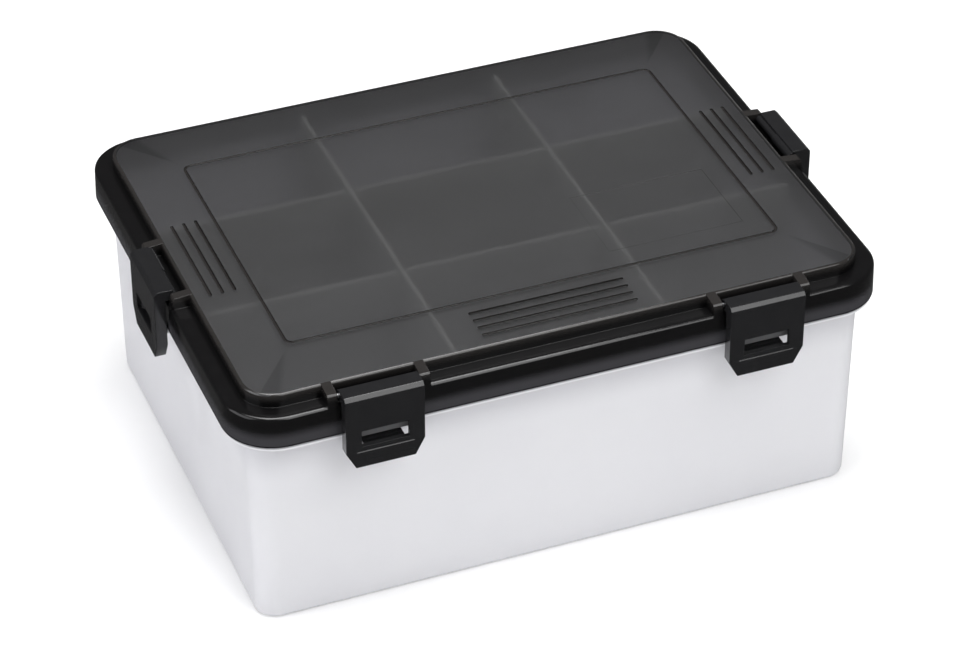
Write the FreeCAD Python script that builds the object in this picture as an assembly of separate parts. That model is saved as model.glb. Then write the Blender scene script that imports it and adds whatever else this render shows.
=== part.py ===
# Tackle box: a divided frosted tub under a smoke-tinted lid, shut by four over-edge latches.
# Millimetres. The origin is the centre of the tub's underside, +Z is up, +X runs along the long
# side and the front, with two of the latches, faces -Y.

import FreeCAD
import Part
import math
import os

Vector = FreeCAD.Vector
X_AXIS = Vector(1, 0, 0)
Y_AXIS = Vector(0, 1, 0)
Z_AXIS = Vector(0, 0, 1)

# Overall size, measured on the lid's rim
rim_width = 350.0
rim_depth = 264.0
rim_corner_radius = 27.0
total_height = 141.0

# Shared by many pieces
moulded_wall = 2.4
seat_gap = 0.3
overrun = 1.0
edge_facets = 3

# Lid: rim and skirt
rim_step = 7.2
skirt_height = 16.9
skirt_draft = 0.4
rim_edge_radius = 2.0
lid_seal_depth = 5.5
seal_side_gap = 0.25
inner_wall_overlap = 4.0

# Lid: plateau
plateau_inset = 10.0
plateau_draft = 0.3
plateau_fall = 0.6
plateau_edge_radius = 1.6
plateau_band = 2.0
plateau_corner_cut = 6.4
panel_width = 266.0
panel_depth = 168.0
panel_corner_radius = 4.0
panel_groove_width = 1.5
panel_groove_depth = 0.7

# Lid: grip grooves beside the panel
grip_groove_width = 1.6
grip_groove_depth = 0.8
grip_end_share = 0.3
front_grip_length = 83.5
front_grip_pitch = 6.2
front_grip_count = 4
front_grip_from_panel = 9.3
front_grip_lean = 0.6
side_grip_length = 66.0
side_grip_pitch = 6.4
side_grip_count = 3
side_grip_from_panel = 9.3
side_grip_shift = 1.5

# Lid: shallow bare recess in the panel, for the owner's own label
label_width = 74.5
label_depth = 52.0
label_from_panel_side = 13.5
label_from_panel_front = 14.5
label_recess = 0.25

# Tub
tub_inset = 9.6
tub_draft = 1.4
tub_corner_radius = 13.0
tub_edge_radius = 3.0
tub_inner_chamfer = 3.4
tub_floor = 2.6
flange_thickness = 2.2
flange_inset = 0.8
lip_inset = 4.5
lip_thickness = 2.2

# Latches, in a frame of their own: across the latch, outward from the rim, and up
latch_width = 41.0
latch_depth = 6.0
latch_skirt_gap = 0.8
latch_height = 42.5
latch_wall = 2.3
latch_side_wall = 2.2
latch_fold_chamfer = 1.9
latch_chamfer_width = 5.0
latch_chamfer_height = 9.5
front_latch_from_side = 73.0
knuckle_radius = 2.9
knuckle_step = 0.6
knuckle_gap = 3.5
knuckle_drop = 0.9
plate_end_reach = 1.2
window_width = 24.8
window_height = 9.8
hook_width = 21.4
hook_reach = 7.0
hook_nose = 1.5
hook_root = 6.7
hook_clearance = 0.3
latch_groove_width = 0.7
latch_groove_depth = 0.5
latch_groove_length = 30.0
latch_groove_pitch = 2.6
latch_groove_count = 3
latch_groove_from_window = 2.8
catch_width = 30.0
catch_flat = 2.6
catch_root = 6.0

# Ears that carry a latch, and its pin
ear_gap = 0.8
ear_width = 5.2
ear_top_inset = 1.5
ear_fall = 0.8
ear_nose_chamfer = 0.8
ear_blend = 1.8
pin_radius = 1.25
pin_running_gap = 0.06
pin_seat_gap = 0.02
pin_blind_wall = 1.5

# Apron of the skirt behind a latch
bed_width = 34.0
bed_reach = 1.4
bed_drop = 3.3
bed_rise = 6.0

# Rear hinges
hinge_from_side = 80.0
hinge_barrel_radius = 3.8
hinge_back_gap = 0.6
hinge_tub_length = 14.0
hinge_lid_length = 9.0
hinge_side_gap = 0.4
hinge_pin_radius = 1.6
hinge_pin_recess = 0.3
hinge_gusset_height = 15.0

# Dividers and the ribs that hold them
divider_thickness = 1.8
divider_top_gap = 4.4
divider_end_gap = 0.5
divider_slot_gap = 0.2
divider_foot_chamfer = 3.4
divider_corner_radius = 3.0
divider_lid_gap = 2.2
column_offset = 55.8
row_offset = 39.0
rib_width = 1.5
rib_depth = 1.5
rib_top_drop = 5.0

# Heights and places that follow from the sizes above
plateau_edge_z = total_height - plateau_fall
rim_top_z = plateau_edge_z - rim_step
skirt_bottom_z = rim_top_z - skirt_height
channel_roof_z = rim_top_z - moulded_wall
seal_bottom_z = channel_roof_z - lid_seal_depth
inner_wall_bottom_z = seal_bottom_z - inner_wall_overlap
lid_ceiling_z = plateau_edge_z - moulded_wall
flange_top_z = skirt_bottom_z - seat_gap
flange_bottom_z = flange_top_z - flange_thickness
inner_wall_inset = plateau_inset + moulded_wall

latch_bottom_z = total_height - latch_height
latch_outer = latch_depth + latch_skirt_gap
pivot_inward = plateau_inset - knuckle_gap - knuckle_radius
pivot_z = total_height - knuckle_drop - knuckle_radius
hook_tip_inward = hook_reach - latch_outer + latch_wall
catch_bottom_z = flange_bottom_z - catch_flat
hook_top_z = catch_bottom_z - hook_clearance

hinge_y = rim_depth / 2 + hinge_back_gap + hinge_barrel_radius
hinge_z = skirt_bottom_z
divider_top_z = lid_ceiling_z - divider_top_gap
upper_divider_half = rim_depth / 2 - inner_wall_inset - divider_lid_gap
upper_side_half = rim_width / 2 - inner_wall_inset - divider_lid_gap

# Each latch: name, turn about Z in degrees, shift along the rim, side from which its pin goes in
front_latch_shift = rim_width / 2 - front_latch_from_side
latch_stations = [
    ("front_left", 0, -front_latch_shift, 1),
    ("front_right", 0, front_latch_shift, 1),
    ("side_left", -90, 0, -1),
    ("side_right", 90, 0, 1),
]
hinge_shift = rim_width / 2 - hinge_from_side
hinge_stations = [("left", -hinge_shift), ("right", hinge_shift)]


def rounded_outline(width, depth, radius, z):
    """Closed rounded rectangle about the origin at one height."""
    half_w = width / 2
    half_d = depth / 2
    edges = []
    corners = [(1, 1, 0), (-1, 1, 90), (-1, -1, 180), (1, -1, 270)]
    arc_ends = []
    for sign_x, sign_y, start in corners:
        centre = Vector(sign_x * (half_w - radius), sign_y * (half_d - radius), z)
        points = []
        for angle in (start, start + 45, start + 90):
            turn = math.radians(angle)
            points.append(centre + Vector(math.cos(turn), math.sin(turn), 0) * radius)
        arc_ends.append(points)
    for index, points in enumerate(arc_ends):
        following = arc_ends[(index + 1) % len(arc_ends)]
        edges.append(Part.Arc(*points).toShape())
        edges.append(Part.LineSegment(points[-1], following[0]).toShape())
    return Part.Wire(edges)


def rim_outline(inset, z):
    """Outline parallel to the lid's rim, set in from it."""
    return rounded_outline(rim_width - 2 * inset, rim_depth - 2 * inset, rim_corner_radius - inset, z)


def rim_prism(inset, low, high):
    """Upright solid inside an outline parallel to the rim."""
    return Part.Face(rim_outline(inset, low)).extrude(Z_AXIS * (high - low))


def rim_ring(outer_inset, inner_inset, low, high):
    """Upright ring that runs round the box parallel to the rim."""
    return rim_prism(outer_inset, low, high).cut(rim_prism(inner_inset, low, high))


def edge_steps(radius):
    """Inset and drop of each step that rounds an edge in a few facets, from the wall to the face."""
    steps = []
    for index in range(edge_facets + 1):
        turn = math.pi / 2 * index / edge_facets
        steps.append((radius * (1 - math.cos(turn)), radius * (1 - math.sin(turn))))
    return steps


def stacked(sections):
    """Solid ruled through outlines one above another."""
    return Part.makeLoft(sections, True, True)


def tub_half(side, z):
    """Half the tub's outer width or depth at a height, after its draft."""
    return side / 2 - tub_inset - tub_draft * (flange_top_z - z) / flange_top_z


def tub_outline(thickness, z):
    """Outline of the drafted tub at a height, set in by a wall thickness."""
    half_w = tub_half(rim_width, z) - thickness
    half_d = tub_half(rim_depth, z) - thickness
    radius = tub_corner_radius - thickness - tub_draft * (flange_top_z - z) / flange_top_z
    return rounded_outline(2 * half_w, 2 * half_d, radius, z)


def polygon_prism(points, direction, depth):
    """Solid swept from a closed polygon of vectors."""
    face = Part.Face(Part.makePolygon(points + points[:1]))
    return face.extrude(direction * depth)


def profile_along_x(points, length):
    """Solid with a (y, z) section, centred on x = 0."""
    section = [Vector(-length / 2, y, z) for y, z in points]
    return polygon_prism(section, X_AXIS, length)


def box_between(low, high):
    """Block between two opposite corners."""
    size = [b - a for a, b in zip(low, high)]
    return Part.makeBox(size[0], size[1], size[2], Vector(*low))


def slot_prism(length, width, low, high):
    """Narrow slot along X whose corners are cut, so that its ends read as round."""
    cut = width * grip_end_share
    half = length / 2
    side = width / 2
    corner = [(half, side - cut), (half - cut, side)]
    outline = []
    for sign_x, sign_y in ((1, 1), (-1, 1), (-1, -1), (1, -1)):
        turned = corner if sign_x == sign_y else corner[::-1]
        outline += [Vector(sign_x * x, sign_y * y, low) for x, y in turned]
    return polygon_prism(outline, Z_AXIS, high - low)


def polyhedron(faces):
    """Closed solid from flat faces, each a list of vectors."""
    sides = [Part.Face(Part.makePolygon(points + points[:1])) for points in faces]
    return Part.Solid(Part.Shell(sides))


def at_latch(shape, turn, along):
    """Carry a shape from the latch's own frame to its place on the rim."""
    side = rim_width if turn else rim_depth
    placed = shape.copy()
    placed.translate(Vector(along, -side / 2, 0))
    placed.rotate(Vector(0, 0, 0), Z_AXIS, turn)
    return placed


# Tub

def tub_outside():
    """Drafted outer form with a rounded bottom edge."""
    foot = [tub_outline(inset, rise) for inset, rise in edge_steps(tub_edge_radius)[::-1]]
    return stacked(foot + [tub_outline(0, flange_top_z)])


def tub_inside():
    """Drafted hollow above the floor, chamfered at its bottom edge."""
    return stacked([
        tub_outline(moulded_wall + tub_inner_chamfer, tub_floor),
        tub_outline(moulded_wall, tub_floor + tub_inner_chamfer),
        tub_outline(moulded_wall, flange_top_z + overrun),
    ])


def catch_ledge():
    """Ledge under the flange that a latch's hook closes beneath."""
    wall_inward = tub_inset + moulded_wall / 2
    section = [
        (flange_inset, flange_top_z - flange_thickness / 2),
        (flange_inset, catch_bottom_z),
        (hook_tip_inward + hook_nose, catch_bottom_z),
        (wall_inward, catch_bottom_z - catch_root),
        (wall_inward, flange_top_z - flange_thickness / 2),
    ]
    return profile_along_x(section, catch_width)


def tub_hinge_arm(x):
    """Middle knuckle of a rear hinge, on a gusset that rises from the tub's wall."""
    inside_y = tub_half(rim_depth, flange_bottom_z - hinge_gusset_height) - moulded_wall / 2
    slant = hinge_barrel_radius * math.sqrt(0.5)
    section = [
        (inside_y, flange_top_z),
        (hinge_y, flange_top_z),
        (hinge_y + slant, hinge_z - slant),
        (inside_y, flange_bottom_z - hinge_gusset_height),
    ]
    arm = profile_along_x(section, hinge_tub_length)
    arm.translate(Vector(x, 0, 0))
    start = Vector(x - hinge_tub_length / 2, hinge_y, hinge_z)
    barrel = Part.makeCylinder(hinge_barrel_radius, hinge_tub_length, start, X_AXIS)
    bore = Part.makeCylinder(hinge_pin_radius + pin_running_gap, hinge_tub_length, start, X_AXIS)
    return arm.fuse(barrel), bore


def guide_ribs(side, offset):
    """Pairs of upright ribs, on both walls across one direction, that hold a divider's ends."""
    top_z = flange_top_z - rib_top_drop
    gap = divider_thickness / 2 + divider_slot_gap
    ribs = []
    for mirror in (1, -1):
        section = [
            (mirror * (tub_half(side, tub_floor) - moulded_wall / 2), tub_floor / 2),
            (mirror * (tub_half(side, tub_floor) - moulded_wall - rib_depth), tub_floor / 2),
            (mirror * (tub_half(side, top_z) - moulded_wall - rib_depth), top_z),
            (mirror * (tub_half(side, top_z) - moulded_wall / 2), top_z),
        ]
        for sign in (1, -1):
            rib = profile_along_x(section, rib_width)
            rib.translate(Vector(offset + sign * (gap + rib_width / 2), 0, 0))
            ribs.append(rib)
    return ribs


def make_tub():
    flange = rim_ring(flange_inset, lip_inset + lip_thickness, flange_bottom_z, flange_top_z)
    shelf = rim_prism(lip_inset + lip_thickness / 2, flange_bottom_z, flange_top_z)
    lip = rim_ring(lip_inset, lip_inset + lip_thickness, flange_bottom_z, seal_bottom_z)
    solids = [flange, shelf, lip]
    for name, turn, along, pin_side in latch_stations:
        solids.append(at_latch(catch_ledge(), turn, along))
    bores = []
    for name, x in hinge_stations:
        arm, bore = tub_hinge_arm(x)
        solids.append(arm)
        bores.append(bore)
    tub = tub_outside().fuse(solids).cut(tub_inside())
    ribs = []
    for sign in (1, -1):
        ribs += guide_ribs(rim_depth, sign * column_offset)
        for rib in guide_ribs(rim_width, sign * row_offset):
            rib.rotate(Vector(0, 0, 0), Z_AXIS, 90)
            ribs.append(rib)
    return tub.fuse(ribs).cut(bores).removeSplitter()


# Lid

def hipped_panel():
    """Low slab on the plateau: a flat panel whose border falls to a band round the edge, with a
    narrow facet at each corner that widens from the panel's corner."""
    inset = plateau_inset + plateau_draft + plateau_edge_radius + plateau_band
    half_w = rim_width / 2 - inset
    half_d = rim_depth / 2 - inset
    top = []
    foot = []
    for sign_x, sign_y in ((1, 1), (-1, 1), (-1, -1), (1, -1)):
        top.append(Vector(sign_x * panel_width / 2, sign_y * panel_depth / 2, total_height))
        along_x = Vector(sign_x * (half_w - plateau_corner_cut), sign_y * half_d, plateau_edge_z)
        along_y = Vector(sign_x * half_w, sign_y * (half_d - plateau_corner_cut), plateau_edge_z)
        foot.append([along_y, along_x] if sign_x == sign_y else [along_x, along_y])
    faces = [top, [point for pair in foot for point in pair][::-1]]
    for index, pair in enumerate(foot):
        after = (index + 1) % len(foot)
        faces.append([top[index], pair[0], pair[1]])
        faces.append([top[index], pair[1], foot[after][0], top[after]])
    return polyhedron(faces)


def lid_blank():
    """Solid outer form: skirt, rim and plateau with its gently falling border."""
    skirt = [rim_outline(0, skirt_bottom_z)]
    for inset, drop in edge_steps(rim_edge_radius):
        skirt.append(rim_outline(skirt_draft + inset, rim_top_z - drop))
    plateau = [rim_outline(plateau_inset, channel_roof_z)]
    for inset, drop in edge_steps(plateau_edge_radius):
        plateau.append(rim_outline(plateau_inset + plateau_draft + inset, plateau_edge_z - drop))
    return stacked(skirt).fuse([stacked(plateau), hipped_panel()])


def ear_pair():
    """Two ears, from the plateau out to the skirt's face, which they run into."""
    inner_end = plateau_inset + ear_blend
    nose_z = plateau_edge_z - ear_fall
    section = [
        (inner_end, plateau_edge_z),
        (ear_top_inset + ear_nose_chamfer, nose_z),
        (ear_top_inset, nose_z - ear_nose_chamfer),
        (skirt_draft, rim_top_z - rim_edge_radius),
        (moulded_wall / 2, rim_top_z - rim_edge_radius),
        (moulded_wall / 2, rim_top_z - moulded_wall / 2),
        (inner_end, rim_top_z - moulded_wall / 2),
    ]
    pair = []
    for sign in (1, -1):
        ear = profile_along_x(section, ear_width)
        ear.translate(Vector(sign * (latch_width / 2 + ear_gap + ear_width / 2), 0, 0))
        pair.append(ear)
    return pair


def latch_bed():
    """Apron of the skirt between a latch's side walls, which hangs in front of the flange."""
    back = flange_inset - seat_gap
    section = [
        (back, skirt_bottom_z - bed_drop),
        (-bed_reach, skirt_bottom_z - bed_drop),
        (-bed_reach, skirt_bottom_z),
        (moulded_wall / 2, skirt_bottom_z + bed_rise),
        (moulded_wall / 2, skirt_bottom_z),
        (back, skirt_bottom_z),
    ]
    return profile_along_x(section, bed_width)


def latch_pin_span(pin_side):
    """Start and length of a latch pin: blind in one ear, flush in the other."""
    outer = latch_width / 2 + ear_gap + ear_width
    low = -pin_side * (outer - pin_blind_wall)
    high = pin_side * outer
    return min(low, high), abs(high - low)


def pin_bore(pin_side, radius):
    """Cylinder on the latch's pivot line."""
    start, length = latch_pin_span(pin_side)
    return Part.makeCylinder(radius, length, Vector(start, pivot_inward, pivot_z), X_AXIS)


def lid_knuckles(x):
    """Two outer knuckles of a rear hinge, on arms from the skirt, and their bore."""
    first = hinge_tub_length / 2 + hinge_side_gap
    solids = []
    bores = []
    for low in (x - first - hinge_lid_length, x + first):
        start = Vector(low, hinge_y, hinge_z)
        high = low + hinge_lid_length
        arm_y = rim_depth / 2 - moulded_wall / 2
        solids.append(box_between((low, arm_y, hinge_z), (high, hinge_y, hinge_z + hinge_barrel_radius)))
        solids.append(Part.makeCylinder(hinge_barrel_radius, hinge_lid_length, start, X_AXIS))
        bores.append(Part.makeCylinder(hinge_pin_radius + pin_seat_gap, hinge_lid_length, start, X_AXIS))
    return solids, bores


def panel_groove():
    """Groove round the flat centre panel."""
    low = total_height - panel_groove_depth
    half = panel_groove_width / 2
    walls = []
    for grow in (half, -half):
        outline = rounded_outline(
            panel_width + 2 * grow, panel_depth + 2 * grow, panel_corner_radius + grow, low)
        walls.append(Part.Face(outline).extrude(Z_AXIS * (panel_groove_depth + overrun)))
    return walls[0].cut(walls[1])


def grip_grooves():
    """Round-ended grooves in the border: a set in front and one on each side."""
    low = total_height - plateau_fall - grip_groove_depth
    high = total_height + overrun
    cutters = []
    for index in range(front_grip_count):
        slot = slot_prism(front_grip_length, grip_groove_width, low, high)
        y = -panel_depth / 2 - front_grip_from_panel - index * front_grip_pitch
        slot.translate(Vector(front_grip_lean, y, 0))
        cutters.append(slot)
    for sign in (1, -1):
        for index in range(side_grip_count):
            slot = slot_prism(side_grip_length, grip_groove_width, low, high)
            slot.rotate(Vector(0, 0, 0), Z_AXIS, 90)
            x = sign * (panel_width / 2 + side_grip_from_panel + index * side_grip_pitch)
            slot.translate(Vector(x, side_grip_shift, 0))
            cutters.append(slot)
    return cutters


def label_cutter():
    """Shallow bare recess near the panel's front right corner."""
    right = panel_width / 2 - label_from_panel_side
    front = -panel_depth / 2 + label_from_panel_front
    low = (right - label_width, front, total_height - label_recess)
    high = (right, front + label_depth, total_height + overrun)
    return box_between(low, high)


def make_lid():
    lid = lid_blank()
    under = skirt_bottom_z - overrun
    hollows = [
        rim_prism(moulded_wall, under, inner_wall_bottom_z),
        rim_ring(moulded_wall, plateau_inset, inner_wall_bottom_z - overrun, channel_roof_z),
        rim_prism(inner_wall_inset, inner_wall_bottom_z - overrun, lid_ceiling_z),
    ]
    lid = lid.cut(hollows)
    added = []
    bores = []
    for name, turn, along, pin_side in latch_stations:
        added += [at_latch(solid, turn, along) for solid in ear_pair() + [latch_bed()]]
        bores.append(at_latch(pin_bore(pin_side, pin_radius + pin_seat_gap), turn, along))
    for name, x in hinge_stations:
        solids, holes = lid_knuckles(x)
        added += solids
        bores += holes
    lid = lid.fuse(added).cut(bores)
    lid = lid.cut([panel_groove(), label_cutter()] + grip_grooves())
    return lid.removeSplitter()


def make_gasket():
    outer = moulded_wall + seal_side_gap
    inner = plateau_inset - seal_side_gap
    return rim_ring(outer, inner, seal_bottom_z, channel_roof_z)


# Latches

def latch_side_section():
    """Section of the latch across its plate: the folded top and the hanging front."""
    shoulder_z = pivot_z - knuckle_radius + knuckle_step
    return [
        (pivot_inward, total_height),
        (-latch_outer + latch_fold_chamfer, total_height),
        (-latch_outer, total_height - latch_fold_chamfer),
        (-latch_outer, latch_bottom_z),
        (-latch_skirt_gap, latch_bottom_z),
        (-latch_skirt_gap, shoulder_z),
        (pivot_inward, shoulder_z),
        (pivot_inward + plate_end_reach, total_height - latch_wall),
    ]


def chamfer_corners(width, low):
    """Wedges that cut the latch's two lower corners."""
    cutters = []
    reach = latch_outer + pivot_inward + 2 * overrun
    for sign in (1, -1):
        edge = sign * (width / 2 + overrun)
        inner = sign * (width / 2 - latch_chamfer_width)
        rise = low + latch_chamfer_height * (1 + overrun / latch_chamfer_width)
        y = -latch_outer - overrun
        points = [Vector(inner, y, low), Vector(edge, y, low), Vector(edge, y, rise)]
        drop = Vector(0, 0, -overrun)
        points = [points[0] + drop, points[1] + drop, points[1], points[2], points[0]]
        cutters.append(polygon_prism(points, Y_AXIS, reach))
    return cutters


def latch_body():
    """Outer form of the latch, with its chamfered fold and cut corners."""
    body = profile_along_x(latch_side_section(), latch_width)
    return body.cut(chamfer_corners(latch_width, latch_bottom_z))


def latch_pocket():
    """Hollow behind the front plate, closed at the sides, the bottom and the cut corners."""
    width = latch_width - 2 * latch_side_wall
    low = latch_bottom_z + latch_side_wall
    plate = -latch_outer + latch_wall
    top = total_height - latch_wall
    section = [
        (plate, low),
        (overrun, low),
        (overrun, pivot_z - knuckle_radius),
        (pivot_inward + knuckle_radius, pivot_z - knuckle_radius),
        (pivot_inward + knuckle_radius, top),
        (plate, top),
    ]
    pocket = profile_along_x(section, width)
    return pocket.cut(chamfer_corners(width, low))


def latch_knuckle():
    """Barrel round the pin: full size along half the latch and stepped down along the rest."""
    half = latch_width / 2
    full = Part.makeCylinder(knuckle_radius, half, Vector(-half, pivot_inward, pivot_z), X_AXIS)
    small = Part.makeCylinder(knuckle_radius - knuckle_step, half, Vector(0, pivot_inward, pivot_z), X_AXIS)
    return [full, small]


def latch_hook():
    """Hook behind the window's sill, flat on top and ramped beneath."""
    plate = -latch_outer + latch_wall / 2
    section = [
        (plate, hook_top_z),
        (hook_tip_inward, hook_top_z),
        (hook_tip_inward, hook_top_z - hook_nose),
        (plate, hook_top_z - hook_root),
    ]
    return profile_along_x(section, hook_width)


def latch_cutters():
    """Window above the hook and the fine grip grooves below it."""
    half = window_width / 2
    window = box_between(
        (-half, -latch_outer - overrun, hook_top_z),
        (half, -latch_outer + latch_wall + overrun, hook_top_z + window_height))
    cutters = [window]
    for index in range(latch_groove_count):
        z = hook_top_z - latch_groove_from_window - index * latch_groove_pitch
        cutters.append(box_between(
            (-latch_groove_length / 2, -latch_outer - overrun, z - latch_groove_width / 2),
            (latch_groove_length / 2, -latch_outer + latch_groove_depth, z + latch_groove_width / 2)))
    return cutters


def make_latch():
    latch = latch_body().cut(latch_pocket())
    latch = latch.fuse(latch_knuckle())
    latch = latch.cut(latch_cutters()).fuse(latch_hook())
    bore = pin_bore(1, pin_radius + pin_running_gap)
    return latch.cut(bore).removeSplitter()


def make_latch_pin(pin_side):
    start, length = latch_pin_span(pin_side)
    foot = Vector(start + seat_gap, pivot_inward, pivot_z)
    return Part.makeCylinder(pin_radius, length - 2 * seat_gap, foot, X_AXIS)


def make_hinge_pin(x):
    span = hinge_tub_length + 2 * (hinge_side_gap + hinge_lid_length) - 2 * hinge_pin_recess
    return Part.makeCylinder(hinge_pin_radius, span, Vector(x - span / 2, hinge_y, hinge_z), X_AXIS)


# Dividers

def wall_end(side, z):
    """Where a divider's end stands off the tub's inner wall."""
    return tub_half(side, z) - moulded_wall - divider_end_gap


def soft_corner(points, radius):
    """Closed outline through the points, with the listed corners rounded."""
    edges = []
    count = len(points)
    ends = []
    for index, (point, rounded) in enumerate(points):
        before = points[index - 1][0]
        after = points[(index + 1) % count][0]
        if rounded:
            ends.append((point + (before - point).normalize() * radius, point,
                         point + (after - point).normalize() * radius))
        else:
            ends.append((point, None, point))
    for index, (start, corner, stop) in enumerate(ends):
        if corner is not None:
            middle = (start + stop) * 0.5
            bulge = corner + (middle - corner).normalize() * radius * (math.sqrt(2) - 1)
            edges.append(Part.Arc(start, bulge, stop).toShape())
        edges.append(Part.LineSegment(stop, ends[(index + 1) % count][0]).toShape())
    return Part.Wire(edges)


def divider_sheet(right, left):
    """Upright sheet along X. An end is (side, place): the tub's width or depth if the end meets
    its wall, or None beside another divider, and the place where its upper part stops."""
    low = tub_floor + seat_gap
    foot = low + divider_foot_chamfer
    outline = []
    for outward, (side, place) in ((1, right), (-1, left)):
        def at(z):
            return outward * wall_end(side, z) if side else place
        part = [
            (Vector(at(low) - outward * divider_foot_chamfer, 0, low), False),
            (Vector(at(foot), 0, foot), False),
        ]
        if side:
            part.append((Vector(at(flange_top_z), 0, flange_top_z), False))
            part.append((Vector(place, 0, flange_top_z), False))
        part.append((Vector(place, 0, divider_top_z), True))
        outline.append(part)
    points = outline[0] + outline[1][::-1]
    face = Part.Face(soft_corner(points, divider_corner_radius))
    sheet = face.extrude(Y_AXIS * divider_thickness)
    sheet.translate(Vector(0, -divider_thickness / 2, 0))
    return sheet


def make_long_divider(x):
    """Sheet across the whole depth, with rib pairs on both faces for the short dividers."""
    sheet = divider_sheet((rim_depth, upper_divider_half), (rim_depth, -upper_divider_half))
    gap = divider_thickness / 2 + divider_slot_gap
    low = tub_floor + seat_gap + divider_foot_chamfer
    high = divider_top_z - divider_corner_radius
    half = divider_thickness / 2 + rib_depth
    ribs = []
    for row in (row_offset, -row_offset):
        for sign in (1, -1):
            near = row + sign * gap
            far = row + sign * (gap + rib_width)
            ribs.append(box_between((min(near, far), -half, low), (max(near, far), half, high)))
    divider = sheet.fuse(ribs)
    divider.rotate(Vector(0, 0, 0), Z_AXIS, 90)
    divider.translate(Vector(x, 0, 0))
    return divider.removeSplitter()


def make_short_divider(column, y):
    """Sheet along X in one column: 0 is the middle one, 1 and -1 are the ends."""
    beside = column_offset - divider_thickness / 2 - divider_slot_gap
    if column == 0:
        sheet = divider_sheet((None, beside), (None, -beside))
    else:
        start = column_offset + divider_thickness / 2 + divider_slot_gap
        sheet = divider_sheet((rim_width, upper_side_half), (None, start))
        if column < 0:
            sheet.rotate(Vector(0, 0, 0), Z_AXIS, 180)
    sheet.translate(Vector(0, y, 0))
    return sheet


def export(name, shape):
    """Write one node; its solids must be sound."""
    if not shape.isValid():
        raise ValueError(name + " is not a valid solid")
    shape.exportStep("parts/" + name + ".step")
    box = shape.BoundBox
    print(f"{name:28s} solids {len(shape.Solids)} faces {len(shape.Faces):4d} "
          f"volume {shape.Volume:10.0f} x {box.XMin:.1f}..{box.XMax:.1f} "
          f"y {box.YMin:.1f}..{box.YMax:.1f} z {box.ZMin:.1f}..{box.ZMax:.1f}")


def main():
    os.makedirs("parts", exist_ok=True)
    export("base_tub", make_tub())
    export("lid_shell", make_lid())
    export("lid_gasket", make_gasket())
    latch = make_latch()
    for name, turn, along, pin_side in latch_stations:
        export("latch_" + name, at_latch(latch, turn, along))
        export("latch_pin_" + name, at_latch(make_latch_pin(pin_side), turn, along))
    for name, x in hinge_stations:
        export("hinge_pin_" + name, make_hinge_pin(x))
    export("long_divider_left", make_long_divider(-column_offset))
    export("long_divider_right", make_long_divider(column_offset))
    for row, y in (("rear", row_offset), ("front", -row_offset)):
        for place, column in (("left", -1), ("middle", 0), ("right", 1)):
            export(f"short_divider_{row}_{place}", make_short_divider(column, y))


main()
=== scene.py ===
# %% [markdown]
# # A waterproof tackle box
# A portable tackle box is two mouldings and four latches: a frosted tub divided into nine
# compartments, and a smoke-tinted lid that shows what is inside without letting the sun at it.
# The construction is already settled elsewhere, in real sizes. Here the box gets its looks: soft
# edges, finishes with grain and wear, and a plain light studio to stand in.

import math

import bpy
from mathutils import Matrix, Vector


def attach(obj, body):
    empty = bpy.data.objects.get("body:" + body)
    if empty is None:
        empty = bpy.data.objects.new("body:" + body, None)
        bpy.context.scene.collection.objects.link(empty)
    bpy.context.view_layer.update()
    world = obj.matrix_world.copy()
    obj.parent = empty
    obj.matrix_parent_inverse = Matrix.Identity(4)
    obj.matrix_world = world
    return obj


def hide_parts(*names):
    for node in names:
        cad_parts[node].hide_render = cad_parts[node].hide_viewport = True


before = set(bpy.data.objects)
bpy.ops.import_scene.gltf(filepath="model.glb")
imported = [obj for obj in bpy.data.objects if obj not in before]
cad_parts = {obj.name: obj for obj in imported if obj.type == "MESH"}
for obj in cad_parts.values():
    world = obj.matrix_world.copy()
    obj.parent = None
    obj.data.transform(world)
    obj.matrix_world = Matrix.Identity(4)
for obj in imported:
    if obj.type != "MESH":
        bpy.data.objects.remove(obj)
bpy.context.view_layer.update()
print("pieces in the frame:", len(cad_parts))

# %% [markdown]
# ## A bench to work on
# Every operator acts on whatever is selected, and the frame arrives with all its pieces selected.
# So each job starts by clearing the bench and picking up one piece. Sizes on a moulding are in
# millimetres, while Blender counts in metres, so one value turns the first into the second.

# %% Small helpers
mm = 0.001


def clear_bench():
    if bpy.context.object and bpy.context.object.mode != "OBJECT":
        bpy.ops.object.mode_set(mode="OBJECT")
    bpy.ops.object.select_all(action="DESELECT")


def pick_up(piece):
    clear_bench()
    piece.select_set(True)
    bpy.context.view_layer.objects.active = piece


def join_in_body(piece, body, slot, *nodes):
    """The piece moves with a body and stands for some nodes, which it hides. The slot is not used.
    """
    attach(piece, body)
    if nodes:
        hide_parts(*nodes)


# %% [markdown]
# ## Hand tools
# A few moves come back on every piece: mark some faces or edges, cut along a plane, and let one
# form add to or take from another. Marking is done by place or direction, so that the choice
# stays right when a size changes.

# %% Marking
def mark(piece, kind, wanted):
    """Selects the faces or edges for which wanted says yes, and stays in edit mode."""
    pick_up(piece)
    bpy.ops.object.mode_set(mode="EDIT")
    bpy.ops.mesh.select_mode(type=kind)
    bpy.ops.mesh.select_all(action="DESELECT")
    bpy.ops.object.mode_set(mode="OBJECT")
    mesh = piece.data
    if kind == "FACE":
        for face in mesh.polygons:
            face.select = wanted(face.center / mm, face.normal)
    else:
        for edge in mesh.edges:
            ends = [mesh.vertices[index].co / mm for index in edge.vertices]
            edge.select = wanted((ends[0] + ends[1]) / 2, (ends[1] - ends[0]).normalized())
    bpy.ops.object.mode_set(mode="EDIT")


def everything(place, direction):
    return True


def lay_down():
    bpy.ops.object.mode_set(mode="OBJECT")


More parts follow.
